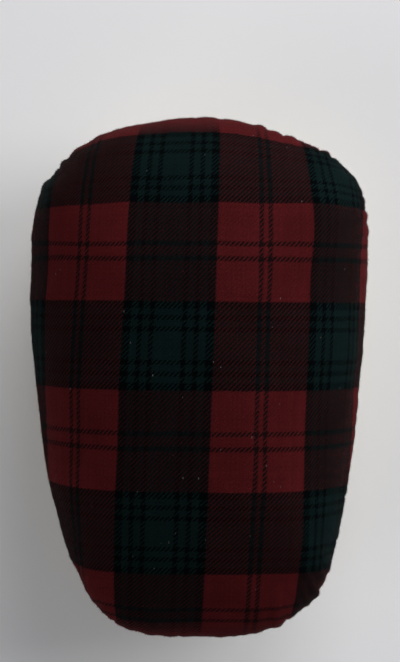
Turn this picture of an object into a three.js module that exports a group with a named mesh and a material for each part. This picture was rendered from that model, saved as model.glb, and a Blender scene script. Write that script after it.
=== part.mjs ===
// A tailor's ham: a firm, ham-shaped pressing cushion that lies on its cotton side with the wool side up.
// Two cloth covers, each backed by a lining, are sewn together round the edge with their seam allowances
// turned in, the bag is packed hard with sawdust, and the turning gap is closed by hand.
// Millimetres. +Z is up from the face it rests on, +Y points to the wide end and +X lies across it.

import * as THREE from "three";

// Plan outline, drafted as a pattern cutter draws half of it on the fold
const HAM_LENGTH = 274;
const HAM_WIDTH = 177;
const WIDEST_FROM_WIDE_END = 61;
const NARROW_WIDTH = 141;
const NARROW_FROM_NARROW_END = 46;
const SIDE_TAPER_DEG = 15;

// How far each stretch of the outline runs along its tangent before it turns
const WIDE_END_RUN = 32;
const WIDE_SHOULDER_RUN = 46;
const SIDE_RUN = 44;
const TAPER_RUN = 59;
const NARROW_SHOULDER_RUN = 34;
const NARROW_END_RUN = 47;

// Heights of the stuffed cushion
const CROWN_RISE = 60;
const BASE_DROP = 48;
const BASE_FLATTENING = 6;
const CROWN_TOWARDS_WIDE_END = 16;
const SEAM_TUCK_DEG = 6;

// Cloth, thread and stitching
const WOOL_THICKNESS = 1.2;
const COTTON_THICKNESS = 0.8;
const LINING_THICKNESS = 0.5;
const SEAM_ALLOWANCE = 10;
const STITCH_FROM_FOLD = 1.5;
const THREAD_DIAMETER = 0.5;
const CLOSING_THREAD_DIAMETER = 0.7;
const CLOSING_GAP_LENGTH = 84;
const CLOSING_FROM_NARROW_END = 76;
const CLOSING_STITCH_PITCH = 4.2;
const CLOSING_STITCH_REACH = 2.6;
const CLEARANCE = 0.3;

// Facets
const SEGMENTS_ROUND = 64;
const OUTER_LATITUDES = 8;
const INNER_LATITUDES = 5;
const THREAD_STEPS = 100;
const THREAD_SIDES = 5;
const STEPS_PER_STITCH = 6;

const crown = new THREE.Vector2(0, CROWN_TOWARDS_WIDE_END);
const edgeLatitude = THREE.MathUtils.degToRad(90 + SEAM_TUCK_DEG);
const seamHeight = BASE_DROP;
const wideEnd = new THREE.Vector2(0, HAM_LENGTH / 2);
const narrowEnd = new THREE.Vector2(0, -HAM_LENGTH / 2);

// The left half of the outline runs from the wide end to the narrow end, and the right half mirrors it back.
function seamOutline() {
  const widest = new THREE.Vector2(-HAM_WIDTH / 2, wideEnd.y - WIDEST_FROM_WIDE_END);
  const shoulder = new THREE.Vector2(-NARROW_WIDTH / 2, narrowEnd.y + NARROW_FROM_NARROW_END);
  const taper = THREE.MathUtils.degToRad(SIDE_TAPER_DEG);
  const downTheTaper = new THREE.Vector2(Math.sin(taper), -Math.cos(taper));
  const leftHalf = [
    [
      wideEnd,
      new THREE.Vector2(-WIDE_END_RUN, wideEnd.y),
      new THREE.Vector2(widest.x, widest.y + WIDE_SHOULDER_RUN),
      widest,
    ],
    [
      widest,
      new THREE.Vector2(widest.x, widest.y - SIDE_RUN),
      shoulder.clone().addScaledVector(downTheTaper, -TAPER_RUN),
      shoulder,
    ],
    [
      shoulder,
      shoulder.clone().addScaledVector(downTheTaper, NARROW_SHOULDER_RUN),
      new THREE.Vector2(-NARROW_END_RUN, narrowEnd.y),
      narrowEnd,
    ],
  ];
  const mirrored = (point) => new THREE.Vector2(-point.x, point.y);
  const rightHalf = leftHalf.map((stretch) => stretch.map(mirrored).reverse()).reverse();
  const outline = new THREE.CurvePath();
  [...leftHalf, ...rightHalf].forEach((stretch) => outline.add(new THREE.CubicBezierCurve(...stretch)));
  return outline;
}

const outline = seamOutline();
const seamLength = outline.getLength();

// A point of the outline at a distance along the seam from the wide end, moved inwards by inset.
function outlinePoint(distance, inset) {
  const share = THREE.MathUtils.euclideanModulo(distance / seamLength, 1);
  const tangent = outline.getTangentAt(share);
  return outline.getPointAt(share).add(new THREE.Vector2(-tangent.y, tangent.x).multiplyScalar(inset));
}

// The stuffed cloth swells like an ellipse: latitude 0 is the crown and 90 degrees the widest line.
// The seam lies just past the widest line, where the stitching draws it in.
function swell(latitude) {
  const edge = Math.cos(edgeLatitude);
  return (Math.cos(latitude) - edge) / (1 - edge);
}

function latitudeAtSwell(share) {
  const edge = Math.cos(edgeLatitude);
  return Math.acos(share * (1 - edge) + edge);
}

const crownDepth = (inset) => CROWN_RISE - inset;
const flatSwell = BASE_DROP / (BASE_DROP + BASE_FLATTENING);
const baseDepth = (inset) => (BASE_DROP - inset) / flatSwell;

// The layers lie one inside the other, and their seam allowances lie one on the other at the seam.
const woolLift = CLEARANCE / 2;
const topLiningInset = WOOL_THICKNESS + CLEARANCE;
const topLiningLift = woolLift + topLiningInset;
const topStack = topLiningLift + LINING_THICKNESS;
const topFillInset = topLiningInset + LINING_THICKNESS + CLEARANCE;

const cottonLift = CLEARANCE / 2;
const baseLiningInset = COTTON_THICKNESS + CLEARANCE;
const baseLiningLift = cottonLift + baseLiningInset;
const baseStack = baseLiningLift + LINING_THICKNESS;
const baseFillInset = baseLiningInset + LINING_THICKNESS + CLEARANCE;

// The filling closes round the turned-in allowances and the stitching on them.
const threadRoom = THREAD_DIAMETER + 2 * CLEARANCE;
const topFillLift = topStack + threadRoom;
const baseFillLift = baseStack + threadRoom;
const fillNeckInset = SEAM_ALLOWANCE + CLEARANCE;
const stitchInset = Math.max(topFillInset, baseFillInset) + STITCH_FROM_FOLD;

// A point of the cushion, a distance along the seam, at a latitude and a height, under inset of cloth.
function cushionPoint(distance, inset, latitude, height) {
  const point = outlinePoint(distance, inset).sub(crown).multiplyScalar(Math.sin(latitude)).add(crown);
  return new THREE.Vector3(point.x, point.y, height);
}

function ring(inset, latitude, height) {
  const spacing = seamLength / SEGMENTS_ROUND;
  return Array.from({ length: SEGMENTS_ROUND }, (_, i) => cushionPoint(i * spacing, inset, latitude, height));
}

// Rings of the domed wool side under inset of cloth, from the crown to an edge that lies lift over the seam.
// Every layer has the same latitudes down to the edge of the filling, so nested facets stay parallel.
function crownRings(inset, lift, count) {
  const depth = crownDepth(inset);
  const rim = latitudeAtSwell(topFillLift / crownDepth(topFillInset));
  const edge = latitudeAtSwell(lift / depth);
  const latitudes = Array.from({ length: count }, (_, i) => (rim * (i + 1)) / count);
  if (edge > rim) latitudes.push(edge);
  return latitudes.map((latitude) => ring(inset, latitude, seamHeight + depth * swell(latitude)));
}

// Rings of the cotton side under inset of cloth, from the rim of its flat to an edge lift under the seam.
function baseRings(inset, lift, count) {
  const depth = baseDepth(inset);
  const flat = latitudeAtSwell(flatSwell);
  const rim = latitudeAtSwell(baseFillLift / baseDepth(baseFillInset));
  const edge = latitudeAtSwell(lift / depth);
  const latitudes = Array.from({ length: count }, (_, i) => flat + ((rim - flat) * i) / (count - 1));
  if (edge > rim) latitudes.push(edge);
  return latitudes.map((latitude) => ring(inset, latitude, seamHeight - depth * swell(latitude)));
}

const crownPole = (inset) => new THREE.Vector3(crown.x, crown.y, seamHeight + CROWN_RISE - inset);
const basePole = (inset) => new THREE.Vector3(crown.x, crown.y, inset);
const turnedEdge = (height) => ring(SEAM_ALLOWANCE, edgeLatitude, height);
const fillNeck = (height) => ring(fillNeckInset, edgeLatitude, height);

// A closed skin over rings of equal count, from one pole to the other.
function loft(firstPole, rings, lastPole) {
  const points = [firstPole, ...rings.flat(), lastPole];
  const at = (ringIndex, i) => 1 + ringIndex * SEGMENTS_ROUND + (i % SEGMENTS_ROUND);
  const last = points.length - 1;
  const triangles = [];
  for (let i = 0; i < SEGMENTS_ROUND; i++) {
    triangles.push(0, at(0, i), at(0, i + 1));
    for (let k = 0; k + 1 < rings.length; k++) {
      triangles.push(at(k, i), at(k + 1, i), at(k + 1, i + 1));
      triangles.push(at(k, i), at(k + 1, i + 1), at(k, i + 1));
    }
    triangles.push(last, at(rings.length - 1, i + 1), at(rings.length - 1, i));
  }
  const geometry = new THREE.BufferGeometry().setFromPoints(points).setIndex(triangles);
  geometry.computeVertexNormals();
  return geometry;
}

// A cloth panel of the wool side: its face, its seam allowance turned in over the seam, and its back.
function crownPanel(inset, thickness, lift, faceLatitudes) {
  const rings = [
    ...crownRings(inset, lift, faceLatitudes),
    turnedEdge(seamHeight + lift),
    turnedEdge(seamHeight + lift + thickness),
    ...crownRings(inset + thickness, lift + thickness, INNER_LATITUDES).reverse(),
  ];
  return loft(crownPole(inset), rings, crownPole(inset + thickness));
}

// A cloth panel of the cotton side: its back, its seam allowance turned in under the seam, and its face.
function basePanel(inset, thickness, lift, faceLatitudes) {
  const rings = [
    ...baseRings(inset + thickness, lift + thickness, INNER_LATITUDES),
    turnedEdge(seamHeight - lift - thickness),
    turnedEdge(seamHeight - lift),
    ...baseRings(inset, lift, faceLatitudes).reverse(),
  ];
  return loft(basePole(inset + thickness), rings, basePole(inset));
}

function sawdustFilling() {
  const rings = [
    ...crownRings(topFillInset, topFillLift, INNER_LATITUDES),
    fillNeck(seamHeight + topFillLift),
    fillNeck(seamHeight - baseFillLift),
    ...baseRings(baseFillInset, baseFillLift, INNER_LATITUDES).reverse(),
  ];
  return loft(crownPole(topFillInset), rings, basePole(baseFillInset));
}

function threadAlong(points, diameter, steps) {
  const section = new THREE.Shape().absarc(0, 0, diameter / 2, 0, 2 * Math.PI);
  const sides = section.getPoints(THREAD_SIDES).slice(0, THREAD_SIDES);
  return new THREE.ExtrudeGeometry(new THREE.Shape(sides), {
    steps,
    extrudePath: new THREE.CatmullRomCurve3(points),
  });
}

const closingMiddle = seamLength / 2 - CLOSING_FROM_NARROW_END;

// The machine stitching runs round the seam on one face of the stack, and stops at the turning gap.
function seamThread(height) {
  const start = closingMiddle + CLOSING_GAP_LENGTH / 2;
  const spacing = (seamLength - CLOSING_GAP_LENGTH) / THREAD_STEPS;
  const points = Array.from({ length: THREAD_STEPS + 1 }, (_, i) =>
    cushionPoint(start + i * spacing, stitchInset, edgeLatitude, height),
  );
  return threadAlong(points, THREAD_DIAMETER, THREAD_STEPS);
}

// The hand stitching whips over the turning gap, from the wool to the cotton and back.
function closingStitch() {
  const stitches = Math.floor(CLOSING_GAP_LENGTH / CLOSING_STITCH_PITCH);
  const start = closingMiddle - (stitches * CLOSING_STITCH_PITCH) / 2;
  const standOff = -(CLOSING_THREAD_DIAMETER / 2 + CLEARANCE);
  const above = latitudeAtSwell(CLOSING_STITCH_REACH / crownDepth(0));
  const below = latitudeAtSwell(CLOSING_STITCH_REACH / baseDepth(0));
  const points = [];
  for (let i = 0; i <= 2 * stitches; i++) {
    const distance = start + (i * CLOSING_STITCH_PITCH) / 2;
    const onWool = i % 2 === 0;
    const height = seamHeight + (onWool ? CLOSING_STITCH_REACH : -CLOSING_STITCH_REACH);
    points.push(cushionPoint(distance, standOff, onWool ? above : below, height));
  }
  return threadAlong(points, CLOSING_THREAD_DIAMETER, stitches * STEPS_PER_STITCH);
}

const cloth = (color, roughness) => new THREE.MeshStandardMaterial({ color, roughness, metalness: 0 });
const woolTartan = () => cloth(0x541518, 0.95);
const cottonDrill = () => cloth(0xd9d1bd, 0.9);
const muslin = () => cloth(0xe4dcc8, 0.92);
const sawdust = () => cloth(0xb98f5c, 1);
const darkThread = () => cloth(0x1d1718, 0.7);
const paleThread = () => cloth(0xd8cfba, 0.7);

const threadLift = CLEARANCE + THREAD_DIAMETER / 2;
const pieces = [
  ["wool_top_cover", crownPanel(0, WOOL_THICKNESS, woolLift, OUTER_LATITUDES), woolTartan()],
  ["top_lining", crownPanel(topLiningInset, LINING_THICKNESS, topLiningLift, INNER_LATITUDES), muslin()],
  ["cotton_base_cover", basePanel(0, COTTON_THICKNESS, cottonLift, OUTER_LATITUDES), cottonDrill()],
  ["base_lining", basePanel(baseLiningInset, LINING_THICKNESS, baseLiningLift, INNER_LATITUDES), muslin()],
  ["sawdust_filling", sawdustFilling(), sawdust()],
  ["needle_thread", seamThread(seamHeight + topStack + threadLift), darkThread()],
  ["bobbin_thread", seamThread(seamHeight - baseStack - threadLift), paleThread()],
  ["closing_stitch", closingStitch(), darkThread()],
];

const ham = new THREE.Group();
for (const [name, geometry, material] of pieces) {
  const mesh = new THREE.Mesh(geometry, material);
  mesh.name = name;
  ham.add(mesh);
}

export default ham;
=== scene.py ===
import math
from bisect import bisect_right
from random import Random

import bmesh
import bpy
from mathutils import Color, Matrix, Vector, noise
from mathutils.bvhtree import BVHTree
from mathutils.geometry import interpolate_bezier


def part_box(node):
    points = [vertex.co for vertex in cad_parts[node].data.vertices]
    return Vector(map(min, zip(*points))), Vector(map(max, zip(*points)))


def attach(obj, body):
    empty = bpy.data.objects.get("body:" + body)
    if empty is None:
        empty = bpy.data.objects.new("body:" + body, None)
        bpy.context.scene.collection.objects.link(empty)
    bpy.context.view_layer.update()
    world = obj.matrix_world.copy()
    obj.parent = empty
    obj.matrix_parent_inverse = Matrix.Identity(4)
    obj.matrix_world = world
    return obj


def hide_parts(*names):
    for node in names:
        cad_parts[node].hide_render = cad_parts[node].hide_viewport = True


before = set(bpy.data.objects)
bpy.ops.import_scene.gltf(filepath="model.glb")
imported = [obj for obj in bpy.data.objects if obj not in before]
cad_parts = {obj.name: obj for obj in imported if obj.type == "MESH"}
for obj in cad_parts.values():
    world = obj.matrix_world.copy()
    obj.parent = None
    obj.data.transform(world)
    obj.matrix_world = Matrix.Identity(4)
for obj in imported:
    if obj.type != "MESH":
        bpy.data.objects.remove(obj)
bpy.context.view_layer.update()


# The sewn bag
# A wool and a cotton panel of one outline are sewn together round the edge, turned and packed hard.
# It is made as one skin, gathered along the seam, swollen by cloth simulation and parted at the seam.
HAM_LENGTH = 0.274
HAM_WIDTH = 0.177
WIDEST_FROM_WIDE_END = 0.061
NARROW_WIDTH = 0.141
NARROW_FROM_NARROW_END = 0.046
SIDE_TAPER = math.radians(15)
WIDE_END_RUN = 0.032
WIDE_SHOULDER_RUN = 0.046
SIDE_RUN = 0.044
TAPER_RUN = 0.059
NARROW_SHOULDER_RUN = 0.034
NARROW_END_RUN = 0.047
OUTLINE_STEPS = 160
DIRECTION_STEP = 0.0015
TURNING_STEP = 0.009

CROWN = Vector((0, 0.016, 0))
CROWN_ROUND_TO = math.radians(60)
BASE_FLATTENING = 0.006
BASE_ROUNDING = 0.003
SEAM_TUCK = math.radians(6)
SEAM_DRAWN_IN = 0.0020
EDGE = math.radians(90) + SEAM_TUCK
BAND = math.radians(66)
TINY = 1e-6

seam_height = (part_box("wool_top_cover")[0].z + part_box("cotton_base_cover")[1].z) / 2
crown_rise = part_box("wool_top_cover")[1].z - seam_height
wide_end = Vector((0, HAM_LENGTH / 2, 0))
narrow_end = -wide_end


def seam_outline():
    """Points of the seam line, from the wide end down the left side, round the narrow end and back."""
    widest = Vector((-HAM_WIDTH / 2, wide_end.y - WIDEST_FROM_WIDE_END, 0))
    shoulder = Vector((-NARROW_WIDTH / 2, narrow_end.y + NARROW_FROM_NARROW_END, 0))
    across = Vector((1, 0, 0))
    back = Vector((0, 1, 0))
    down = Vector((math.sin(SIDE_TAPER), -math.cos(SIDE_TAPER), 0))
    stretches = [
        (wide_end, wide_end - across * WIDE_END_RUN, widest + back * WIDE_SHOULDER_RUN, widest),
        (widest, widest - back * SIDE_RUN, shoulder - down * TAPER_RUN, shoulder),
        (shoulder, shoulder + down * NARROW_SHOULDER_RUN, narrow_end - across * NARROW_END_RUN, narrow_end),
    ]
    left = [point for stretch in stretches for point in interpolate_bezier(*stretch, OUTLINE_STEPS)[:-1]]
    right = [Vector((-point.x, point.y, 0)) for point in reversed(left[1:])]
    return [*left, narrow_end, *right, wide_end]


outline = seam_outline()
reached = [0.0]
for here, there in zip(outline, outline[1:]):
    reached.append(reached[-1] + (there - here).length)
seam_length = reached[-1]


def seam_point(distance):
    """A point of the seam line at a distance along it from the wide end."""
    distance %= seam_length
    after = min(bisect_right(reached, distance), len(outline) - 1)
    share = (distance - reached[after - 1]) / (reached[after] - reached[after - 1])
    return outline[after - 1].lerp(outline[after], share)


def seam_outward(distance):
    """The level direction that points out of the ham at the seam."""
    along = seam_point(distance + DIRECTION_STEP) - seam_point(distance - DIRECTION_STEP)
    return Vector((along.y, -along.x, 0)).normalized()


def seam_turning(distance):
    """How sharply the seam line turns, in radians a metre."""
    before = seam_outward(distance - TURNING_STEP)
    after = seam_outward(distance + TURNING_STEP)
    return after.angle(before) / (2 * TURNING_STEP)


def swell(latitude):
    """The share of the full height at a latitude, which is 0 at the crown and EDGE at the seam."""
    return (math.cos(latitude) - math.cos(EDGE)) / (1 - math.cos(EDGE))


def climb(latitude):
    """The length of cloth from the seam up to a latitude near it."""
    return (EDGE - latitude) * crown_rise / (1 - math.cos(EDGE))


# The turning gap is closed by hand, which pinches the edge in and puckers it at every stitch.
CLOSING_GAP = 0.084
CLOSING_FROM_NARROW_END = 0.076
CLOSING_PITCH = 0.0042
PINCH_DEPTH = 0.0027
PINCH_TO_WIDE_END = 0.008
PINCH_TO_NARROW_END = 0.024
PINCH_CLIMB = 0.017
closing_middle = seam_length / 2 - CLOSING_FROM_NARROW_END
closing_start = closing_middle - CLOSING_GAP / 2


def pinch(distance, latitude):
    """How far the hand-closed gap is drawn in."""
    past = distance % seam_length - closing_middle
    run = PINCH_TO_NARROW_END if past > 0 else PINCH_TO_WIDE_END
    return PINCH_DEPTH * math.exp(-((past / run) ** 2) - (climb(latitude) / PINCH_CLIMB) ** 2)


# The filling is rammed in by hand, so some spots of the edge are fuller than the pattern and some slacker.
# Each has its distance along the seam from the wide end, its reach and how far it stands out, in metres.
UNEVEN_SPOTS = {
    "slack wide end": (0.012, 0.022, -0.0014),
    "full left shoulder": (0.055, 0.018, 0.0014),
    "slack left side": (0.115, 0.040, -0.0016),
    "slack left foot": (0.280, 0.035, -0.0014),
    "slack right brow": (-0.042, 0.018, -0.0010),
    "full right shoulder": (-0.093, 0.020, 0.0030),
    "slack right side": (-0.225, 0.050, -0.0008),
    "full right foot": (-0.305, 0.020, 0.0012),
}


def fullness(distance):
    """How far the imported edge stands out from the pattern's."""
    out = 0.0
    for spot, reach, height in UNEVEN_SPOTS.values():
        past = (distance - spot + seam_length / 2) % seam_length - seam_length / 2
        out += height * math.exp(-((past / reach) ** 2))
    return out


def smooth(share):
    """A share from 0 to 1 that starts and ends gently."""
    share = min(1, max(0, share))
    return share * share * (3 - 2 * share)


def plan_of(rim, latitude):
    """The plan of a point between the crown and the rim. Near the crown the outline rounds to an oval."""
    reach = rim - CROWN
    oval = 1 / math.hypot(2 * reach.x / HAM_WIDTH, 2 * reach.y / HAM_LENGTH)
    rounding = 1 + (oval - 1) * (1 - smooth(latitude / CROWN_ROUND_TO))
    return CROWN + reach * rounding * math.sin(latitude)


def settled(height, ground):
    """A height that is let down softly on the ground."""
    over = height - ground
    if over > BASE_ROUNDING:
        return height
    return ground + max(0, over + BASE_ROUNDING) ** 2 / (4 * BASE_ROUNDING)


def stuffed(distance, latitude, side, inset=0.0):
    """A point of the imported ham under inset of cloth. Side is 1 on the wool and -1 on the cotton."""
    stands_out = fullness(distance) - pinch(distance, latitude) - inset
    rim = seam_point(distance) + seam_outward(distance) * stands_out
    plan = plan_of(rim, latitude)
    if side > 0:
        return Vector((plan.x, plan.y, seam_height + (crown_rise - inset) * swell(latitude)))
    fall = (seam_height - inset) * (1 + BASE_FLATTENING / seam_height)
    return Vector((plan.x, plan.y, settled(seam_height - fall * swell(latitude), inset)))


# The seam gathers the cloth, most of all where it turns. Narrow folds stand beside it,
# and broad drags run further up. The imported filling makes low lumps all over.
GATHER_WIDTH = 0.006
GATHER_DEPTH = 0.0032
GATHER_CLIMB = 0.013
GATHER_SLANT = 0.1
GATHER_ONSET = 0.003
CREASE_SHARE = 0.7
DRAG_WIDTH = 0.024
DRAG_DEPTH = 0.0014
DRAG_CLIMB = 0.03
GATHERS_ON_STRAIGHTS = 0.35
FULL_GATHER_TURN = 22
STITCH_PULL = 0.0006
STITCH_PULL_CLIMB = 0.004
COTTON_TUCK = 0.0018
COTTON_CRISPNESS = 1.5
OTHER_SIDE = Vector((0, 0, 0.5))
LUMP_WIDTH = 0.038
LUMP_DEPTH = 0.0012
DEEPEST_HOLLOW = 0.0026


def gather_share(distance):
    """How much of the full gathering the seam has here, by how sharply it turns."""
    turn = min(1, seam_turning(distance) / FULL_GATHER_TURN)
    return GATHERS_ON_STRAIGHTS + (1 - GATHERS_ON_STRAIGHTS) * turn


def gathers(distance, latitude, side):
    """How far the gathered cloth stands out near the seam: round folds between sharp creases."""
    up = climb(latitude)
    spot = seam_point(distance) + Vector((0, 0, GATHER_SLANT * up)) + OTHER_SIDE * side
    folds = 2 * abs(noise.noise(spot / GATHER_WIDTH)) - CREASE_SHARE
    drags = noise.noise(spot / DRAG_WIDTH)
    out = GATHER_DEPTH * folds * math.exp(-up / GATHER_CLIMB)
    out += DRAG_DEPTH * drags * math.exp(-up / DRAG_CLIMB)
    past = distance % seam_length - closing_start
    if 0 < past < CLOSING_GAP:
        pull = (1 + math.cos(2 * math.pi * past / CLOSING_PITCH)) / 2
        out -= STITCH_PULL * pull * math.exp(-up / STITCH_PULL_CLIMB)
    if side < 0:
        out = COTTON_CRISPNESS * out - COTTON_TUCK * math.exp(-up / DRAG_CLIMB)
    return out * gather_share(distance) * smooth(up / GATHER_ONSET)


def lumps(place):
    """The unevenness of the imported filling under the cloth, none where the ham lies on its flat."""
    lifted = min(1, place.z / (seam_height / 2))
    return LUMP_DEPTH * noise.noise(place / LUMP_WIDTH) * lifted


def outwards(distance, latitude, side):
    """The direction out of the ham's surface."""
    level = seam_outward(distance) * math.sin(latitude)
    upright = Vector((0, 0, side * math.cos(latitude)))
    return (level + upright).normalized()


CUT_STEPS = 24


def cut_place(distance, latitude, side):
    """Where a point of the stuffed cloth lay on the flat panel: its plan, let out by the dome's depth."""
    depth = (crown_rise if side > 0 else seam_height + BASE_FLATTENING) / (1 - math.cos(EDGE))
    reach = (seam_point(distance) - CROWN).length
    let_out = 0.0
    for step in range(CUT_STEPS):
        at = latitude * (step + 0.5) / CUT_STEPS
        level = reach * math.cos(at)
        let_out += (math.hypot(level, depth * math.sin(at)) - level) * latitude / CUT_STEPS
    return plan_of(seam_point(distance), latitude) + seam_outward(distance) * let_out


def ham_grid(columns, rows):
    """A cube cut into a grid. Its walls become the ham's sides, and its ends the crown and the flat."""
    grid = bmesh.new()
    bmesh.ops.create_cube(grid, size=2)
    uprights = [e for e in grid.edges if abs(e.verts[0].co.z - e.verts[1].co.z) > 1]
    bmesh.ops.subdivide_edges(grid, edges=uprights, cuts=2 * rows - 1, use_grid_fill=True)
    levels = [e for e in grid.edges if abs(e.verts[0].co.z - e.verts[1].co.z) < TINY]
    bmesh.ops.subdivide_edges(grid, edges=levels, cuts=columns - 1, use_grid_fill=True)
    for face in grid.faces:
        face.smooth = True
        face.material_index = 0 if face.calc_center_median().z > 0 else 1
    return grid


HALF_SIDES = 8


def ham_place(corner):
    """The distance along the seam, the latitude and the side that a point of the cube stands for."""
    x, y, z = corner
    ring = max(abs(x), abs(y), TINY)
    x, y = x / ring, y / ring
    # The half sides of the cube's square ring are counted from the middle of the wide end.
    if y > 1 - TINY:
        passed = -x % HALF_SIDES
    elif x < TINY - 1:
        passed = 2 - y
    elif y < TINY - 1:
        passed = 4 + x
    else:
        passed = 6 + y
    latitude = BAND * ring if abs(z) > 1 - TINY else BAND + (EDGE - BAND) * (1 - abs(z))
    return passed / HALF_SIDES * seam_length, latitude, 1 if z >= 0 else -1


# The cloth beside the seam is cut a little larger than it lies, and is held less than the crown is.
BAG_COLUMNS = 128
BAG_ROWS = 24
EASE = 0.06
HELD_FAST_BELOW = 0.02
HELD_AT_BAND = 0.8
HELD_FROM_CROWN = 1.6

bag = ham_grid(BAG_COLUMNS, BAG_ROWS)
along_seam = bag.verts.layers.float.new("along_seam")
cut = bag.verts.layers.float_vector.new("cut")
number = bag.verts.layers.int.new("number")
eased = []
held = []
for k, v in enumerate(bag.verts):
    at_seam = abs(v.co.z) < TINY
    distance, latitude, side = ham_place(v.co)
    place = stuffed(distance, latitude, side)
    if at_seam:
        place -= seam_outward(distance) * SEAM_DRAWN_IN
    out = max(gathers(distance, latitude, side) + lumps(place), -DEEPEST_HOLLOW)
    near = max(0, (latitude - BAND) / (EDGE - BAND))
    ease = EASE * gather_share(distance) * near ** 2
    spare = (place - CROWN) * ease
    v.co = place + outwards(distance, latitude, side) * out
    v[along_seam] = distance
    v[cut] = cut_place(distance, latitude, side)
    v[number] = k
    eased.append(v.co + Vector((spare.x, spare.y, 0)))
    held_fast = at_seam or near < HELD_FAST_BELOW
    held.append(1.0 if held_fast else HELD_AT_BAND * max(0, 1 - near * HELD_FROM_CROWN))

# The simulation swells the band of cloth beside the seam, at ten times its size, which suits the solver.
SIM_SCALE = 10
SIM_FRAMES = 14
SIM_REACH = 0.003
SIM_QUALITY = 5
CLOTH_MASS = 0.01
CLOTH_STIFFNESS = 30
CLOTH_SHEAR = 10
CLOTH_BENDING = 0.01
CLOTH_DAMPING = 10
PIN_STIFFNESS = 0.3
FILLING_PRESSURE = 3

band = bag.copy()
number_of = band.verts.layers.int["number"]
still = [f for f in band.faces if min(held[v[number_of]] for v in f.verts) == 1.0]
bmesh.ops.delete(band, geom=still, context="FACES")
numbers = [v[number_of] for v in band.verts]
bmesh.ops.scale(band, vec=(SIM_SCALE, SIM_SCALE, SIM_SCALE), verts=band.verts)
band_mesh = bpy.data.meshes.new("swelling_band")
band.to_mesh(band_mesh)
band.free()
swelling = bpy.data.objects.new("swelling_band", band_mesh)
bpy.context.scene.collection.objects.link(swelling)
swelling.shape_key_add(name="stuffed", from_mix=False)
as_cut = swelling.shape_key_add(name="as_cut", from_mix=False)
pins = swelling.vertex_groups.new(name="held")
for spot, k in zip(as_cut.data, numbers):
    spot.co = eased[k] * SIM_SCALE
for k, n in enumerate(numbers):
    pins.add([k], held[n], "REPLACE")
cloth = swelling.modifiers.new("cloth", "CLOTH")
cloth.settings.quality = SIM_QUALITY
cloth.settings.mass = CLOTH_MASS
cloth.settings.tension_stiffness = CLOTH_STIFFNESS
cloth.settings.compression_stiffness = CLOTH_STIFFNESS
cloth.settings.shear_stiffness = CLOTH_SHEAR
cloth.settings.bending_stiffness = CLOTH_BENDING
cloth.settings.tension_damping = CLOTH_DAMPING
cloth.settings.compression_damping = CLOTH_DAMPING
cloth.settings.shear_damping = CLOTH_DAMPING
cloth.settings.vertex_group_mass = "held"
cloth.settings.pin_stiffness = PIN_STIFFNESS
cloth.settings.rest_shape_key = as_cut
cloth.settings.use_pressure = True
cloth.settings.uniform_pressure_force = FILLING_PRESSURE
cloth.settings.effector_weights.gravity = 0
cloth.collision_settings.use_collision = False
cloth.point_cache.frame_start = 1
cloth.point_cache.frame_end = SIM_FRAMES
for moment in range(1, SIM_FRAMES + 1):
    bpy.context.scene.frame_set(moment)
swollen = swelling.evaluated_get(bpy.context.evaluated_depsgraph_get()).to_mesh()
bag.verts.ensure_lookup_table()
for spot, k in zip(swollen.vertices, numbers):
    move = spot.co / SIM_SCALE - bag.verts[k].co
    bag.verts[k].co += move * min(1, SIM_REACH / max(move.length, TINY))
bpy.context.scene.frame_set(1)
bpy.data.objects.remove(swelling)
bpy.data.meshes.remove(band_mesh)


# The wool cover
# It is the upper panel, a napped wool tartan in an even twill, stretched over the dome by the filling.
# Its seam allowance is turned in at the edge, where the seam holds it to the cotton.
WOOL_THICKNESS = 0.0012
SEAM_ALLOWANCE = 0.010
SEAM_GAP = 0.0003
FLAT_STEPS = 180


def keep_side(panel, side):
    """Cuts a skin along the seam and keeps one side of it."""
    other = 1 if side > 0 else 0
    cut_off = [f for f in panel.faces if f.material_index == other]
    bmesh.ops.delete(panel, geom=cut_off, context="FACES")
    for face in panel.faces:
        face.material_index = 0


def parted(side):
    """One cover of the bag."""
    cover = bag.copy()
    keep_side(cover, side)
    cover.verts.layers.int.remove(cover.verts.layers.int["number"])
    return cover


def turn_in(panel, height):
    """Folds the open edge of a panel in, level with the seam, as its seam allowance."""
    edge = [e for e in panel.edges if e.is_boundary]
    for v in {v for e in edge for v in e.verts}:
        v.co.z = height
    made = bmesh.ops.extrude_edge_only(panel, edges=edge)["geom"]
    distance_of = panel.verts.layers.float["along_seam"]
    cut_of = panel.verts.layers.float_vector["cut"]
    for v in made:
        if isinstance(v, bmesh.types.BMVert):
            outward = seam_outward(v[distance_of])
            v.co -= outward * SEAM_ALLOWANCE
            v[cut_of] = v[cut_of] + outward * SEAM_ALLOWANCE


def lay_flat(panel):
    """Gives a panel a map of its own that lies as the cloth did when it was cut."""
    cut_of = panel.verts.layers.float_vector["cut"]
    spots = [v[cut_of] for v in panel.verts]
    left, right = min(p.x for p in spots), max(p.x for p in spots)
    near, far = min(p.y for p in spots), max(p.y for p in spots)
    flat = panel.loops.layers.uv.new("OFBake")
    for face in panel.faces:
        for loop in face.loops:
            spot = loop.vert[cut_of]
            loop[flat].uv = ((spot.x - left) / (right - left), (spot.y - near) / (far - near))


def made_object(name, shape, material):
    """A new object of a shape in one material, which takes the shape over."""
    mesh = bpy.data.meshes.new(name)
    shape.to_mesh(mesh)
    shape.free()
    mesh.materials.append(material)
    made = bpy.data.objects.new(name, mesh)
    bpy.context.scene.collection.objects.link(made)
    return made


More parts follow.
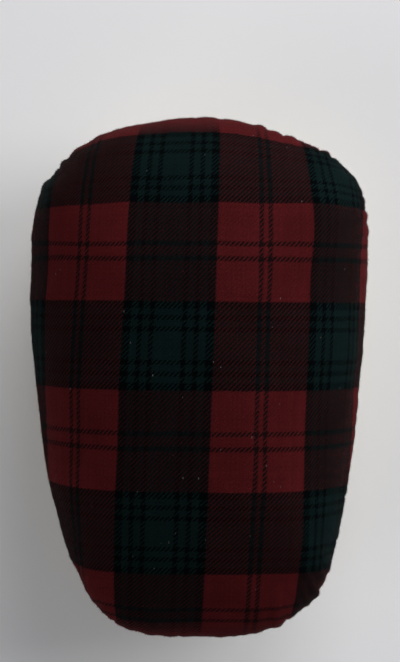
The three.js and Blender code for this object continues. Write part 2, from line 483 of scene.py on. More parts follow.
def sewn_piece(name, panel, thickness, material):
    """The finished object of a panel, with its thickness turned to the inside."""
    bmesh.ops.recalc_face_normals(panel, faces=panel.faces)
    top = max(panel.faces, key=lambda f: abs(f.calc_center_median().z - seam_height))
    if top.normal.z * (top.calc_center_median().z - seam_height) < 0:
        bmesh.ops.reverse_faces(panel, faces=panel.faces)
    lay_flat(panel)
    panel.verts.layers.float.remove(panel.verts.layers.float["along_seam"])
    piece = made_object(name, panel, material)
    wall = piece.modifiers.new("thickness", "SOLIDIFY")
    wall.thickness = thickness
    wall.offset = -1
    return piece


def flat_panel(side):
    """The width, length and area of a panel as it is cut, seam allowance included."""
    spots = []
    for step in range(FLAT_STEPS):
        distance = seam_length * step / FLAT_STEPS
        spots.append(cut_place(distance, EDGE, side) + seam_outward(distance) * SEAM_ALLOWANCE)
    area = sum(a.x * b.y - b.x * a.y for a, b in zip(spots, [*spots[1:], spots[0]])) / 2
    width = max(p.x for p in spots) - min(p.x for p in spots)
    length = max(p.y for p in spots) - min(p.y for p in spots)
    return (width, length), abs(area)


# Every material is built from the nodes that these add.
# The mix node has several sockets of one name, so they go by number.
MIX_SHARE = 0
MIX_NUMBERS = (2, 3)
MIX_NUMBER_OUT = 0
MIX_COLOURS = (6, 7)
MIX_COLOUR_OUT = 2
NOISE_LOW = 0.3
NOISE_HIGH = 0.7
NOISE_DETAIL = 3


def dyed(red, green, blue):
    """A colour as a screen shows it, 0 to 255, in the linear light that a shader takes."""
    return (*Color((red / 255, green / 255, blue / 255)).from_srgb_to_scene_linear(), 1.0)


def added(tree, kind, feeds=(), **settings):
    """A new node with its settings, fed by name or in order from sockets and constants."""
    node = tree.nodes.new(kind)
    for name, value in settings.items():
        setattr(node, name, value)
    pairs = feeds.items() if isinstance(feeds, dict) else enumerate(feeds)
    for key, feed in pairs:
        if isinstance(feed, bpy.types.NodeSocket):
            tree.links.new(feed, node.inputs[key])
        else:
            node.inputs[key].default_value = feed
    return node


def maths(tree, operation, *feeds):
    """The result of one operation on numbers."""
    return added(tree, "ShaderNodeMath", feeds, operation=operation).outputs[0]


def vectors(tree, operation, *feeds):
    """The results of one operation on vectors."""
    return added(tree, "ShaderNodeVectorMath", feeds, operation=operation).outputs


def product(tree, first, *others):
    """Several numbers multiplied."""
    for other in others:
        first = maths(tree, "MULTIPLY", first, other)
    return first


def over(tree, value, start):
    """How far a value is over a start, and 0 where it isn't."""
    return maths(tree, "MAXIMUM", maths(tree, "SUBTRACT", value, start), 0.0)


def mixed(tree, share, first, second):
    """One colour turned into another by a share."""
    feeds = {MIX_SHARE: share, MIX_COLOURS[0]: first, MIX_COLOURS[1]: second}
    return added(tree, "ShaderNodeMix", feeds, data_type="RGBA").outputs[MIX_COLOUR_OUT]


def on_top(tree, warp_up, of_weft, of_warp):
    """A number of the yarn that lies on top."""
    feeds = {MIX_SHARE: warp_up, MIX_NUMBERS[0]: of_weft, MIX_NUMBERS[1]: of_warp}
    return added(tree, "ShaderNodeMix", feeds, data_type="FLOAT").outputs[MIX_NUMBER_OUT]


def spread(tree, value, low, high, start=0.0, end=1.0):
    """A value from start to end spread from low to high."""
    feeds = {"Value": value, "From Min": start, "From Max": end, "To Min": low, "To Max": high}
    return added(tree, "ShaderNodeMapRange", feeds).outputs[0]


def grainy(tree, place, scale, detail=NOISE_DETAIL):
    """Noise at a place, of so many grains a metre."""
    feeds = {"Vector": place, "Scale": scale, "Detail": detail}
    return added(tree, "ShaderNodeTexNoise", feeds).outputs["Fac"]


def noisy(tree, place, scale, low, high):
    """Noise at a place, of so many grains a metre, spread from low to high."""
    return spread(tree, grainy(tree, place, scale), low, high, NOISE_LOW, NOISE_HIGH)


def chance_of(tree, thread):
    """A number from 0 to 1 that every thread has of its own."""
    return added(tree, "ShaderNodeTexWhiteNoise", {"W": thread}, noise_dimensions="1D").outputs["Value"]


def crown_of(tree, threads):
    """How far a round yarn stands up across its own width."""
    return maths(tree, "SINE", maths(tree, "MULTIPLY", maths(tree, "FRACT", threads), math.pi))


def toned(tree, colour, level):
    """A colour made lighter or darker by a level."""
    return added(tree, "ShaderNodeHueSaturation", {"Value": level, "Color": colour}).outputs[0]


def as_cut_place(tree):
    """The place on the flat panel, and its parts across and along the ham."""
    place = added(tree, "ShaderNodeAttribute", attribute_name="cut").outputs["Vector"]
    parts = added(tree, "ShaderNodeSeparateXYZ", [place]).outputs
    return place, parts[0], parts[1]


def new_finish(name, roughness, gloss, sheen, sheen_roughness, sheen_tint):
    """A cloth-like material, with its node tree and its shader."""
    material = bpy.data.materials.new(name)
    material.use_nodes = True
    tree = material.node_tree
    shader = tree.nodes["Principled BSDF"]
    shader.inputs["Roughness"].default_value = roughness
    shader.inputs["Specular IOR Level"].default_value = gloss
    shader.inputs["Sheen Weight"].default_value = sheen
    shader.inputs["Sheen Roughness"].default_value = sheen_roughness
    shader.inputs["Sheen Tint"].default_value = sheen_tint
    return material, tree, shader


def coloured(tree, shader, colour):
    """Gives the shader its colour."""
    tree.links.new(colour, shader.inputs["Base Color"])


def embossed(tree, shader, height, strength, depth):
    """Raises the surface of the shader by a height."""
    bump = added(tree, "ShaderNodeBump", {"Strength": strength, "Distance": depth, "Height": height})
    tree.links.new(bump.outputs[0], shader.inputs["Normal"])


# The dyes of the tartan, the dull mix of two naps with painted shade, stray lint, and how red the nap of
# each dye is.
RED = dyed(67, 18, 20)
GREEN = dyed(9, 21, 21)
DARK = dyed(1, 3, 4)
LINE = dyed(20, 9, 10)
NAP_AND_SHADE_DULL = dyed(7, 10, 11)
LINT = dyed(150, 145, 138)
RED_NAP = {RED: 1.0, LINE: 0.7}

# The setts count the threads of each dye from one pivot to the next, where they turn back.
WARP_SETT = [
    (GREEN, 12), (DARK, 4), (GREEN, 6), (DARK, 4), (GREEN, 6), (DARK, 7),
    (RED, 36), (LINE, 4), (RED, 2),
]
WEFT_SETT = [
    (GREEN, 11), (DARK, 4), (GREEN, 5), (DARK, 4), (GREEN, 5), (DARK, 6),
    (RED, 32), (LINE, 4), (RED, 4),
]
END_PITCH = 0.000596
PICK_PITCH = 0.000647
WARP_PIVOT = -0.0164
WEFT_PIVOT = 0.0166

# The stretched warp leans, fans out and eases to the sides, and the weft slopes and bows at the wide end.
WARP_LEAN = math.radians(2.2)
WARP_FAN = 0.3
WARP_FAN_FROM = 0.087
WARP_EASE_LEFT = 1.7
WARP_EASE_RIGHT = 4.5
WARP_PULL = 4.7
WARP_PULL_FROM = 0.062
WEFT_SLOPE = math.radians(-0.5)
WEFT_BOW = 33
WEFT_BOW_FROM = 0.095

# The warp covers a little more than half of the face, and sinks under the weft at the two ends.
# The veils are how far nap of another colour and painted shade dull the red ends and the red picks.
WARP_COVER = -0.12
WARP_SINKS_FROM = 0.132
WARP_SUNK_BY = 0.146
NAP_AND_SHADE_VEIL = 0.66
WEFT_NAP_AND_SHADE_VEIL = 0.75

# Grains are counted a metre, strays in threads, the waver in radians and shades as shares of the light.
STRAY_GRAINS = 2600
STRAY = 1.1
RIB_GRAINS = 1900
RIB_WAVER = 1.0
# The rib shades are painted shade: the weft lying low between the raised warp ribs is darker.
RIB_PAINTED_SHADES = (0.92, 1.04)
YARN_SHADES = (0.86, 1.14)
PATCH_GRAINS = 45
PATCH_SHADES = (0.88, 1.12)
FIBRE_GRAINS = 4200
FIBRE_DRAW = 0.22
FIBRE_SHADES = (0.62, 1.38)
LINT_GRAINS = 260
LINT_DRAW = 0.5
LINT_SIZES = (-0.16, 0.09)
LINT_PATCH_GRAINS = 900
LINT_SHARES = (0.02, 0.3)
CROWN_RELIEF = 0.3
RIB_RELIEF = 0.15
WOOL_BUMP = 0.5
WOOL_RELIEF_DEPTH = 0.0002


def sett_colour(tree, thread, sett):
    """The dye of a thread, and how red its nap is."""
    total = sum(count for _, count in sett)
    turned = maths(tree, "PINGPONG", maths(tree, "ADD", thread, 0.5), total)
    ramp = added(tree, "ShaderNodeValToRGB", [maths(tree, "DIVIDE", turned, total)])
    ramp.color_ramp.interpolation = "CONSTANT"
    stops = ramp.color_ramp.elements
    stops.remove(stops[1])
    counted = 0
    for k, (colour, count) in enumerate(sett):
        stop = stops[0] if k == 0 else stops.new(counted / total)
        stop.position = counted / total
        stop.color = (*colour[:3], RED_NAP.get(colour, 0.0))
        counted += count
    return ramp.outputs


def wool_threads(tree):
    """The counts of warp ends and of weft picks, each with its fraction, from the pivots of their setts."""
    cloth, across, along = as_cut_place(tree)
    leaning = vectors(tree, "DOT_PRODUCT", cloth, (1, -math.tan(WARP_LEAN), 0))["Value"]
    sloping = vectors(tree, "DOT_PRODUCT", cloth, (-math.tan(WEFT_SLOPE), 1, 0))["Value"]
    from_middle = maths(tree, "POWER", across, 2.0)

    fan = maths(tree, "MULTIPLY", maths(tree, "SUBTRACT", along, WARP_FAN_FROM), WARP_FAN)
    on_right = maths(tree, "GREATER_THAN", across, 0.0)
    ease = maths(tree, "MULTIPLY", from_middle, spread(tree, on_right, WARP_EASE_LEFT, WARP_EASE_RIGHT))
    widening = maths(tree, "MULTIPLY", across, maths(tree, "ADD", fan, ease))
    far_right = over(tree, across, WARP_PULL_FROM)
    pulled = maths(tree, "MULTIPLY", maths(tree, "POWER", far_right, 2.0), WARP_PULL)
    fanned = maths(tree, "ADD", leaning, maths(tree, "ADD", widening, pulled))

    bow = product(tree, over(tree, along, WEFT_BOW_FROM), WEFT_BOW, from_middle)
    bowed = maths(tree, "ADD", sloping, bow)

    # Loose fibres blur the edge of every yarn.
    stray = noisy(tree, cloth, STRAY_GRAINS, -STRAY, STRAY)
    ends = maths(tree, "DIVIDE", maths(tree, "SUBTRACT", fanned, WARP_PIVOT), END_PITCH)
    picks = maths(tree, "DIVIDE", maths(tree, "SUBTRACT", bowed, WEFT_PIVOT), PICK_PITCH)
    return maths(tree, "ADD", ends, stray), maths(tree, "ADD", picks, stray)


def linted(tree, cloth, tone):
    """A colour with a little lint lying on it."""
    drawn = vectors(tree, "MULTIPLY", cloth, (1, LINT_DRAW, 1))[0]
    specks = added(tree, "ShaderNodeTexVoronoi", {"Vector": drawn, "Scale": LINT_GRAINS})
    rare = added(tree, "ShaderNodeSeparateColor", [specks.outputs["Color"]]).outputs[0]
    lint = maths(tree, "LESS_THAN", specks.outputs["Distance"], spread(tree, rare, *LINT_SIZES))
    faint = maths(tree, "MULTIPLY", lint, noisy(tree, cloth, LINT_PATCH_GRAINS, *LINT_SHARES))
    return mixed(tree, faint, tone, LINT)


def tartan_wool(name, painted_sheen_lift, end_veil, pick_veil, warp_cover):
    """The woven wool, its colour painted lighter as sheen by a given factor. The warp is on top where the
    ribs stand over warp_cover.
    Other nap and painted shade dull red ends by end_veil and red picks by pick_veil."""
    material, tree, shader = new_finish(
        name, roughness=0.95, gloss=0.02, sheen=0.1, sheen_roughness=0.2, sheen_tint=dyed(200, 190, 186))
    cloth, _, along = as_cut_place(tree)
    ends, picks = wool_threads(tree)
    end = maths(tree, "FLOOR", ends)
    pick = maths(tree, "FLOOR", picks)

    # Over two and under two, one thread further on every row, draws slanting ribs with the warp on top.
    slant = maths(tree, "MULTIPLY", maths(tree, "SUBTRACT", ends, picks), math.pi / 2)
    waver = noisy(tree, cloth, RIB_GRAINS, -RIB_WAVER, RIB_WAVER)
    rib = maths(tree, "SINE", maths(tree, "ADD", slant, waver))

    # Bent over the two ends, the warp sinks into the cloth and the weft covers it.
    sunk = spread(tree, maths(tree, "ABSOLUTE", along), 0.0, 1.0, WARP_SINKS_FROM, WARP_SUNK_BY)
    warp_up = maths(tree, "GREATER_THAN", rib, maths(tree, "ADD", sunk, warp_cover))
    warp, warp_nap = sett_colour(tree, end, WARP_SETT)
    weft, weft_nap = sett_colour(tree, pick, WEFT_SETT)
    yarn = mixed(tree, warp_up, weft, warp)

    # Where red crosses another colour, the brushed nap of each lies over the other and dulls it, and
    # painted shade darkens it more.
    dulled_ends = maths(tree, "MULTIPLY", over(tree, warp_nap, weft_nap), end_veil)
    pick_veil_here = spread(tree, sunk, pick_veil, 0.0)
    dulled_picks = maths(tree, "MULTIPLY", over(tree, weft_nap, warp_nap), pick_veil_here)
    nap_and_shade_veiled = mixed(tree, maths(tree, "ADD", dulled_ends, dulled_picks), yarn, NAP_AND_SHADE_DULL)

    # Every yarn took the dye a little differently, and its fibres run along it.
    dye = on_top(tree, warp_up, chance_of(tree, pick), chance_of(tree, end))
    drawn_along = vectors(tree, "MULTIPLY", cloth, (1, FIBRE_DRAW, 1))[0]
    drawn_across = vectors(tree, "MULTIPLY", cloth, (FIBRE_DRAW, 1, 1))[0]
    warp_fibres = noisy(tree, drawn_along, FIBRE_GRAINS, 0, 1)
    weft_fibres = noisy(tree, drawn_across, FIBRE_GRAINS, 0, 1)
    fibres = on_top(tree, warp_up, weft_fibres, warp_fibres)
    darkest, lightest = YARN_SHADES
    level = product(
        tree,
        # Painted sheen: the colour is made lighter by the given factor.
        spread(tree, dye, darkest * painted_sheen_lift, lightest * painted_sheen_lift),
        noisy(tree, cloth, PATCH_GRAINS, *PATCH_SHADES),
        spread(tree, fibres, *FIBRE_SHADES),
        # Painted shade: the weft lying low between the raised warp ribs is darker.
        spread(tree, rib, *RIB_PAINTED_SHADES, start=-1),
    )
    coloured(tree, shader, linted(tree, cloth, toned(tree, nap_and_shade_veiled, level)))

    # The ribs stand up, and the yarn on top is round across its own width.
    crowns = on_top(tree, warp_up, crown_of(tree, picks), crown_of(tree, ends))
    crown_relief = maths(tree, "MULTIPLY", crowns, CROWN_RELIEF)
    rib_relief = maths(tree, "MULTIPLY", rib, RIB_RELIEF)
    relief = maths(tree, "ADD", maths(tree, "ADD", crown_relief, rib_relief), fibres)
    embossed(tree, shader, relief, WOOL_BUMP, WOOL_RELIEF_DEPTH)
    return material


panel = parted(1)
turn_in(panel, seam_height + SEAM_GAP / 2)
tartan = tartan_wool(
    "tartan_wool", painted_sheen_lift=1, end_veil=NAP_AND_SHADE_VEIL, pick_veil=WEFT_NAP_AND_SHADE_VEIL, warp_cover=WARP_COVER)
wool = sewn_piece("wool_cover", panel, WOOL_THICKNESS, tartan)
wool_flat, wool_area = flat_panel(1)
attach(wool, "root")
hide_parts("wool_top_cover")


# The nap
# Brushing raised fibres out of the soft weft yarns. They lie over the weave and stand out along the edge.
# Each is a thin blade in the dye of its yarn, painted lighter as a painted sheen, combed to the narrow end.
NAP_FIBRES = 80000
NAP_LENGTH = 0.0014
NAP_LENGTHS = (0.5, 1.2)
NAP_WIDTH = 0.00007
NAP_RISE = 0.5
NAP_RISES = (0, 2)
# The nap's dye is painted this many times lighter, as a painted sheen along the edge.
NAP_PAINTED_SHEEN_LIFT = 2.2
NAP_COMB = Vector((0, -0.4, 0))
NAP_SEED = 11
NAP_ON_TOP = 0.002
NAP_STEEPNESS = 3
NO_WARP = 1.1
NAP_CELLS = math.ceil(math.sqrt(NAP_FIBRES))
BLADE_IN_CELL = ((0.1, 0.1), (0.9, 0.1), (0.5, 0.9))


def nap_on(face):
    """How much nap a face has: most of it where the cloth is steep, and little on the pressed top."""
    steep = 1 - min(1, max(0, face.normal.z))
    return face.calc_area() * (NAP_ON_TOP + steep ** NAP_STEEPNESS)


chance = Random(NAP_SEED)
skin = parted(1)
skin.normal_update()
skin.faces.index_update()
skin_cut = skin.verts.layers.float_vector["cut"]
nap = bmesh.new()
nap_cut = nap.verts.layers.float_vector.new("cut")
nap_cells = nap.loops.layers.uv.new("OFBake")
shares = [nap_on(face) for face in skin.faces]
grown_on = chance.choices(skin.faces[:], weights=shares, k=NAP_FIBRES)
grown_on.sort(key=lambda face: face.index)
for k, face in enumerate(grown_on):
    a, b, c, d = face.verts
    s, u = chance.random(), chance.random()
    root = a.co.lerp(b.co, s).lerp(d.co.lerp(c.co, s), u)
    dye = a[skin_cut].lerp(b[skin_cut], s).lerp(d[skin_cut].lerp(c[skin_cut], s), u)
    lie = Vector((chance.uniform(-1, 1), chance.uniform(-1, 1), chance.uniform(-1, 1))) + NAP_COMB
    lie -= face.normal * lie.dot(face.normal)
    grow = (lie.normalized() + face.normal * NAP_RISE * chance.uniform(*NAP_RISES)).normalized()
    half = grow.cross(face.normal).normalized() * NAP_WIDTH / 2
    tip = root + grow * NAP_LENGTH * chance.uniform(*NAP_LENGTHS)
    blade = [nap.verts.new(place) for place in (root - half, root + half, tip)]
    for v in blade:
        v[nap_cut] = dye
    cell = Vector((k % NAP_CELLS, k // NAP_CELLS))
    for loop, corner in zip(nap.faces.new(blade).loops, BLADE_IN_CELL):
        loop[nap_cells].uv = (cell + Vector(corner)) / NAP_CELLS
skin.free()
# The nap's finish is the wool's, painted lighter as sheen.
raised = tartan_wool("raised_fibres_painted_sheen", painted_sheen_lift=NAP_PAINTED_SHEEN_LIFT, end_veil=0, pick_veil=0, warp_cover=NO_WARP)
wool_nap = made_object("wool_nap", nap, raised)
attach(wool_nap, "root")
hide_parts("wool_top_cover")


# The cotton cover
# It is the lower panel, an undyed cotton drill, which takes a hotter iron than the wool does.
# The ham lies on it, so it is flat in the middle, and its seam allowance is turned in like the wool's.
COTTON_THICKNESS = 0.0008
CREAM = dyed(186, 174, 148)
PALE_CREAM = dyed(206, 196, 172)
DRILL_PITCH = 0.00042
DRILL_REPEAT = 3.0
DRILL_WARP_UP = 1.5
DRILL_STRAY = 0.4
DRILL_STRAY_GRAINS = 900
DRILL_STRAY_DETAIL = 2
DRILL_SLUB_GRAINS = 60
SLUB_DETAIL = 4
# The drill's shades are painted shade, darker where the weft lies low in the twill.
DRILL_PAINTED_SHADES = (0.9, 1.0)
DRILL_YARN_SHADES = (0.97, 1.03)
DRILL_BUMP = 0.5
DRILL_RELIEF_DEPTH = 0.00015


def cotton_drill():
    """Two over, one under, with slubs in the yarn."""
    material, tree, shader = new_finish(
        "cotton_drill", roughness=0.9, gloss=0.15,
        sheen=0.1, sheen_roughness=0.4, sheen_tint=dyed(255, 250, 240))
    cloth, across, along = as_cut_place(tree)
    wander = grainy(tree, cloth, DRILL_STRAY_GRAINS, DRILL_STRAY_DETAIL)
    stray = spread(tree, wander, -DRILL_STRAY, DRILL_STRAY)
    ends = maths(tree, "ADD", maths(tree, "DIVIDE", across, DRILL_PITCH), stray)
    picks = maths(tree, "ADD", maths(tree, "DIVIDE", along, DRILL_PITCH), stray)
    end = maths(tree, "FLOOR", ends)
    pick = maths(tree, "FLOOR", picks)
    step = maths(tree, "FLOORED_MODULO", maths(tree, "ADD", end, pick), DRILL_REPEAT)
    warp_up = maths(tree, "LESS_THAN", step, DRILL_WARP_UP)
    slubs = grainy(tree, cloth, DRILL_SLUB_GRAINS, SLUB_DETAIL)
    yarn = mixed(tree, slubs, CREAM, PALE_CREAM)
    # Painted shade: darker where the weft lies low in the twill.
    painted_weave_shade = spread(tree, warp_up, *DRILL_PAINTED_SHADES)
    yarn_shade = spread(tree, chance_of(tree, end), *DRILL_YARN_SHADES)
    coloured(tree, shader, toned(tree, yarn, maths(tree, "MULTIPLY", painted_weave_shade, yarn_shade)))
    relief = on_top(tree, warp_up, crown_of(tree, picks), crown_of(tree, ends))
    embossed(tree, shader, relief, DRILL_BUMP, DRILL_RELIEF_DEPTH)
    return material


panel = parted(-1)
turn_in(panel, seam_height - SEAM_GAP / 2)
cotton = sewn_piece("cotton_cover", panel, COTTON_THICKNESS, cotton_drill())
cotton_flat, cotton_area = flat_panel(-1)
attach(cotton, "root")
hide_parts("cotton_base_cover")


# The linings
# A close muslin panel backs each cover and keeps the sawdust in. It is cut to the same pattern,
# and is caught in the same seam, so its allowance lies on the cover's.
LINING_THICKNESS = 0.0005
LINING_INSET = 0.0042
LINING_COLUMNS = 40
LINING_ROWS = 8
WHITE = dyed(255, 255, 255)
MUSLIN = dyed(228, 220, 200)
MUSLIN_PITCH = 0.0006
MUSLIN_SLUB_GRAINS = 120
# The muslin's shades are painted shade, darker where the weave lies low.
MUSLIN_PAINTED_SHADES = (0.94, 1.0)
MUSLIN_SLUB_SHADES = (0.9, 1.08)
MUSLIN_BUMP = 0.4
MUSLIN_RELIEF_DEPTH = 0.0001


def plain_muslin():
    """One over, one under, with slubs in the yarn."""
    material, tree, shader = new_finish(
        "plain_muslin", roughness=0.92, gloss=0.15, sheen=0.05, sheen_roughness=0.4, sheen_tint=WHITE)
    cloth, across, along = as_cut_place(tree)
    ends = maths(tree, "SINE", maths(tree, "MULTIPLY", across, math.pi / MUSLIN_PITCH))
    picks = maths(tree, "SINE", maths(tree, "MULTIPLY", along, math.pi / MUSLIN_PITCH))
    weave = maths(tree, "MULTIPLY", ends, picks)
    slubs = grainy(tree, cloth, MUSLIN_SLUB_GRAINS, SLUB_DETAIL)
    # Painted shade: darker where the weave lies low, by the same height as its relief.
    painted_weave_shade = spread(tree, weave, *MUSLIN_PAINTED_SHADES)
    slub_shade = spread(tree, slubs, *MUSLIN_SLUB_SHADES)
    coloured(tree, shader, toned(tree, MUSLIN, maths(tree, "MULTIPLY", painted_weave_shade, slub_shade)))
    embossed(tree, shader, weave, MUSLIN_BUMP, MUSLIN_RELIEF_DEPTH)
    return material


muslin = plain_muslin()
linings = {
    "lining_under_wool": ("top_lining", 1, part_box("top_lining")[0].z),
    "lining_under_cotton": ("base_lining", -1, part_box("base_lining")[1].z),
}
for name, (node, side, height) in linings.items():
    panel = ham_grid(LINING_COLUMNS, LINING_ROWS)
    along_seam = panel.verts.layers.float.new("along_seam")
    cut = panel.verts.layers.float_vector.new("cut")
    keep_side(panel, side)
    for v in panel.verts:
        distance, latitude, _ = ham_place(v.co)
        v.co = stuffed(distance, latitude, side, LINING_INSET)
        v[along_seam] = distance
        v[cut] = cut_place(distance, latitude, side)
    turn_in(panel, height)
    lining = sewn_piece(name, panel, LINING_THICKNESS, muslin)
    lining_flat, lining_area = flat_panel(side)
    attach(lining, "root")
    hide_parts(node)


# The filling
# Hardwood sawdust is rammed in until the ham is firm, so it takes the inside shape of the linings
# and closes round the seam allowances that stand into it.
FILL_INSET = 0.0052
FILL_COLUMNS = 64
FILL_ROWS = 14
NECK_ROWS = 2
NECK_INSET = 0.0106
GRAIN_WIDTH = 0.004
GRAIN_DEPTH = 0.0002
SAWDUST = dyed(187, 146, 96)
DARK_SAWDUST = dyed(140, 98, 58)
CHIP_GRAINS = 900
DUST_GRAINS = 300
DUST_DETAIL = 5
SAWDUST_BUMP = 0.8
SAWDUST_RELIEF_DEPTH = 0.0004


def packed_sawdust():
    """Pale and dark chips with dust between them."""
    material, tree, shader = new_finish(
        "packed_sawdust", roughness=1.0, gloss=0.15, sheen=0.0, sheen_roughness=0.4, sheen_tint=WHITE)
    place = added(tree, "ShaderNodeTexCoord").outputs["Object"]
    chips = added(tree, "ShaderNodeTexVoronoi", {"Vector": place, "Scale": CHIP_GRAINS})
    dust = grainy(tree, place, DUST_GRAINS, DUST_DETAIL)
    kind = added(tree, "ShaderNodeSeparateColor", [chips.outputs["Color"]]).outputs[0]
    coloured(tree, shader, mixed(tree, maths(tree, "MULTIPLY", kind, dust), SAWDUST, DARK_SAWDUST))
    embossed(tree, shader, chips.outputs["Distance"], SAWDUST_BUMP, SAWDUST_RELIEF_DEPTH)
    return material


filling = ham_grid(FILL_COLUMNS, FILL_ROWS)
neck_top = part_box("needle_thread")[1].z + SEAM_GAP
neck_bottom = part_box("bobbin_thread")[0].z - SEAM_GAP
for v in filling.verts:
    row = abs(v.co.z) * FILL_ROWS
    distance, latitude, side = ham_place(v.co)
    neck = neck_top if side > 0 else neck_bottom
    if row < NECK_ROWS - TINY:
        v.co = stuffed(distance, EDGE, side, NECK_INSET)
        v.co.z = seam_height + (neck - seam_height) * min(1, row)
        continue
    v.co = stuffed(distance, latitude, side, FILL_INSET)
    v.co += outwards(distance, latitude, side) * GRAIN_DEPTH * noise.noise(v.co / GRAIN_WIDTH)
    v.co.z = max(v.co.z, neck) if side > 0 else min(v.co.z, neck)
for face in filling.faces:
    face.material_index = 0
bmesh.ops.recalc_face_normals(filling, faces=filling.faces)
sawdust = made_object("packed_sawdust", filling, packed_sawdust())
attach(sawdust, "root")
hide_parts("sawdust_filling")


# The machine seam
# A lockstitch in cotton thread joins the covers and linings all round, but for the turning gap.
# The needle thread lies on the wool side of the stack, and the bobbin thread on the cotton side.
STITCH_LENGTH = 0.0025
STITCH_INSET = 0.0038
STEPS_PER_STITCH = 8
HOLE_WIDTH = 0.00035
DARK_THREAD = dyed(29, 23, 24)
PALE_THREAD = dyed(216, 207, 186)
THREAD_GRAINS = 4000
THREAD_SHADES = (0.7, 1.3)
THREAD_BUMP = 0.4
THREAD_RELIEF_DEPTH = 0.00005
THREAD_ROUNDING = 1


def spun_thread(name, colour):
    """Cotton thread, uneven from fibre to fibre."""
    material, tree, shader = new_finish(
        name, roughness=0.7, gloss=0.2, sheen=0.2, sheen_roughness=0.4, sheen_tint=dyed(255, 245, 240))
    place = added(tree, "ShaderNodeTexCoord").outputs["Object"]
    fibres = grainy(tree, place, THREAD_GRAINS)
    coloured(tree, shader, toned(tree, colour, spread(tree, fibres, *THREAD_SHADES)))
    embossed(tree, shader, fibres, THREAD_BUMP, THREAD_RELIEF_DEPTH)
    return material


def laid_thread(name, strands, radius, material):
    """A thread along the points of its strands."""
    curve = bpy.data.curves.new(name, "CURVE")
    curve.dimensions = "3D"
    curve.bevel_depth = radius
    curve.bevel_resolution = THREAD_ROUNDING
    curve.use_fill_caps = True
    for points in strands:
        spline = curve.splines.new("POLY")
        spline.points.add(len(points) - 1)
        for spot, point in zip(spline.points, points):
            spot.co = (*point, 1)
    curve.materials.append(material)
    thread = bpy.data.objects.new(name, curve)
    bpy.context.scene.collection.objects.link(thread)
    return thread


dark_thread = spun_thread("dark_thread", DARK_THREAD)
pale_thread = spun_thread("pale_thread", PALE_THREAD)
seam_threads = {
    "needle_thread": ("seam_needle_thread", -1, dark_thread, "dark_thread"),
    "bobbin_thread": ("seam_bobbin_thread", 1, pale_thread, "pale_thread"),
}
for node, (name, pulled, material, slot) in seam_threads.items():
    low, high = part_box(node)
    level = (low.z + high.z) / 2
    radius = (high.z - low.z) / 2
    stitches = round((seam_length - CLOSING_GAP) / STITCH_LENGTH)
    points = []
    for step in range(stitches * STEPS_PER_STITCH + 1):
        distance = closing_start + CLOSING_GAP + step * STITCH_LENGTH / STEPS_PER_STITCH
        hole = (step % STEPS_PER_STITCH) / STEPS_PER_STITCH
        from_hole = min(hole, 1 - hole) * STITCH_LENGTH
        point = stuffed(distance, EDGE, 1, STITCH_INSET)
        dip = abs(level - seam_height) * math.exp(-((from_hole / HOLE_WIDTH) ** 2))
        points.append(Vector((point.x, point.y, level + pulled * dip)))
    thread = laid_thread(name, [points], radius, material)
    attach(thread, "root")
    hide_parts(node)


# The closing stitches
# After filling, the turning gap is whipped shut by hand with a doubled thread. Each stitch slants over
# the seam from the wool to the cotton, and runs back inside the cloth to the next.
PLY_RADIUS = 0.00019
PLY_APART = 0.00018
PLY_TWIST = 0.0018
PLY_ACROSS = Vector((0.31, 0.62, 0.72))
CLOSING_REACH = 0.0026
CLOSING_INSIDE = 0.003
CLOSING_DIP = 0.0004
CLOSING_STEPS = 40
RAY_START = 0.02

bag_skin = BVHTree.FromBMesh(bag)


def skin_out(distance, height):
    """How far the bag's skin stands out from the seam line at a height."""
    outward = seam_outward(distance)
    seam = seam_point(distance)
    start = seam + outward * RAY_START
    hit = bag_skin.ray_cast(Vector((start.x, start.y, height)), -outward)[0]
    return (hit - seam).dot(outward)


def closing_path():
    """Points of the whipped thread, over the seam and back inside the cloth."""
    points = []
    stitches = round(CLOSING_GAP / CLOSING_PITCH)
    for step in range(stitches * CLOSING_STEPS + 1):
        turn = step / CLOSING_STEPS
        distance = closing_start + turn * CLOSING_PITCH
        angle = 2 * math.pi * turn
        height = seam_height + CLOSING_REACH * math.cos(angle)
        over_seam = math.sin(angle)
        wool_edge = skin_out(distance, seam_height + CLOSING_REACH)
        rest = max(skin_out(distance, height), wool_edge - CLOSING_DIP)
        out = rest + PLY_APART if over_seam > 0 else rest + over_seam * CLOSING_INSIDE
        spot = seam_point(distance) + seam_outward(distance) * out
        points.append(Vector((spot.x, spot.y, height)))
    return points


def plied(points):
    """Two strands twisted round a path, which never runs the way of PLY_ACROSS."""
    strands = [[], []]
    run = 0.0
    for k, point in enumerate(points):
        ahead = points[min(k + 1, len(points) - 1)] - points[max(k - 1, 0)]
        run += (point - points[max(k - 1, 0)]).length
        side = ahead.cross(PLY_ACROSS).normalized()
        up = ahead.cross(side).normalized()
        for strand, phase in zip(strands, (0, math.pi)):
            angle = 2 * math.pi * run / PLY_TWIST + phase
            strand.append(point + (side * math.cos(angle) + up * math.sin(angle)) * PLY_APART)
    return strands


closing = laid_thread("closing_stitches", plied(closing_path()), PLY_RADIUS, dark_thread)
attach(closing, "root")
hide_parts("closing_stitch")


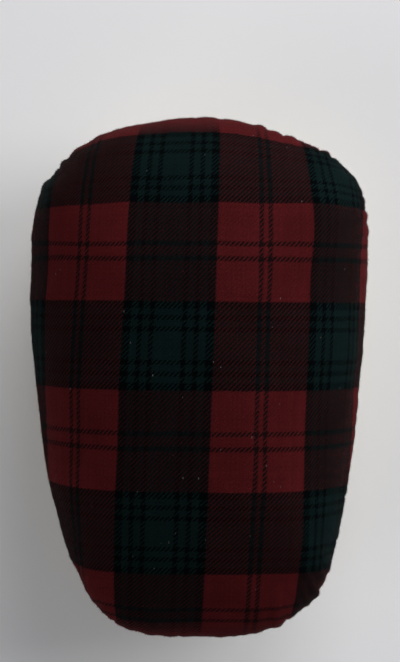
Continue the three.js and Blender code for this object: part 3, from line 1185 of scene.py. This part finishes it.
# The stage
# A plain pale floor in a pale room, soft light with its key from the upper right, and a camera
# straight above, where the photograph was taken from.
FLOOR_SIZE = 3.0
FLOOR_COLOUR = dyed(232, 232, 234)
ROOM_COLOUR = dyed(240, 241, 244)
ROOM_STRENGTH = 0.28
IMAGE_CENTRE = Vector((0.0007, 0.0242))
VIEW_HEIGHT = 1.2
VIEW_LENGTH = 0.3509
SENSOR = 36

ground = bmesh.new()
bmesh.ops.create_grid(ground, x_segments=2, y_segments=2, size=FLOOR_SIZE)
floor_paint, _, floor_shader = new_finish(
    "floor_paint", roughness=0.9, gloss=0.2, sheen=0.0, sheen_roughness=0.4, sheen_tint=FLOOR_COLOUR)
floor_shader.inputs["Base Color"].default_value = FLOOR_COLOUR
floor = made_object("floor", ground, floor_paint)

room = bpy.data.worlds.new("soft_room")
bpy.context.scene.world = room
room.use_nodes = True
room.node_tree.nodes["Background"].inputs["Color"].default_value = ROOM_COLOUR
room.node_tree.nodes["Background"].inputs["Strength"].default_value = ROOM_STRENGTH

# Each square soft box faces the ham. It has its place and its width in metres, and its power in watts.
SOFT_BOXES = {
    "key": (Vector((2.2, 0.9, 1.05)), 1.6, 48),
    "far": (Vector((0.8, 2.3, 0.9)), 1.6, 52),
    "fill": (Vector((-2.2, -1.1, 0.75)), 1.4, 18),
}
for name, (place, width, power) in SOFT_BOXES.items():
    light = bpy.data.lights.new(name, "AREA")
    light.size = width
    light.energy = power
    lamp = bpy.data.objects.new(name, light)
    lamp.location = place
    lamp.rotation_euler = (place - Vector((0, 0, seam_height))).to_track_quat("Z", "Y").to_euler()
    bpy.context.scene.collection.objects.link(lamp)

eye = bpy.data.cameras.new("camera")
eye.sensor_width = SENSOR
eye.lens = SENSOR * VIEW_HEIGHT / VIEW_LENGTH
camera = bpy.data.objects.new("camera", eye)
camera.location = (IMAGE_CENTRE.x, IMAGE_CENTRE.y, seam_height + VIEW_HEIGHT)
bpy.context.scene.collection.objects.link(camera)
bpy.context.scene.camera = camera
bpy.context.scene.view_settings.view_transform = "Standard"
